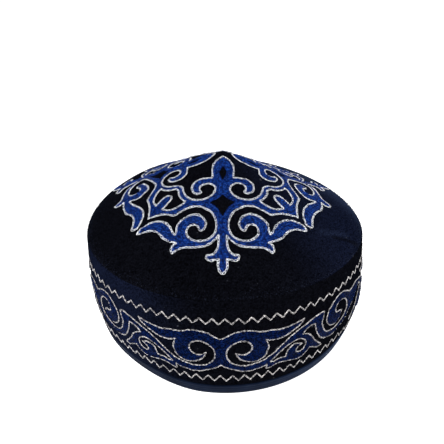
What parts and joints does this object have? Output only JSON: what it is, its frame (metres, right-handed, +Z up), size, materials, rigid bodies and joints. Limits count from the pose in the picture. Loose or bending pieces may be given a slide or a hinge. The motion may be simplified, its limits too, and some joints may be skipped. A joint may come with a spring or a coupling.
{
  "type": "embroidered skullcap",
  "caption": "Round velvet skullcap with a low peaked crown of gores, an upright band, a folded hem tape and chain-stitch scrollwork.",
  "frame": {"origin": "middle of the hem, on the surface that the cap stands on", "axes": "+Z up through the peak of the crown, -Y to the front, +X to the cap's side that is on the right as seen from the front"},
  "size_m": [0.194, 0.194, 0.1143],
  "materials": {
    "velvet": "near-black navy cotton velvet with a short pile",
    "navy_satin": "navy satin tape, soft sheen",
    "blue_thread": "royal blue rayon chain stitch, silky",
    "silver_thread": "silver-white twisted thread in chain stitch"
  },
  "bodies": {
    "root": {"crown_front": "velvet", "crown_right": "velvet", "crown_back": "velvet", "crown_left": "velvet", "side_band": "velvet", "hem_binding": "navy_satin"}
  },
  "joints": []
}
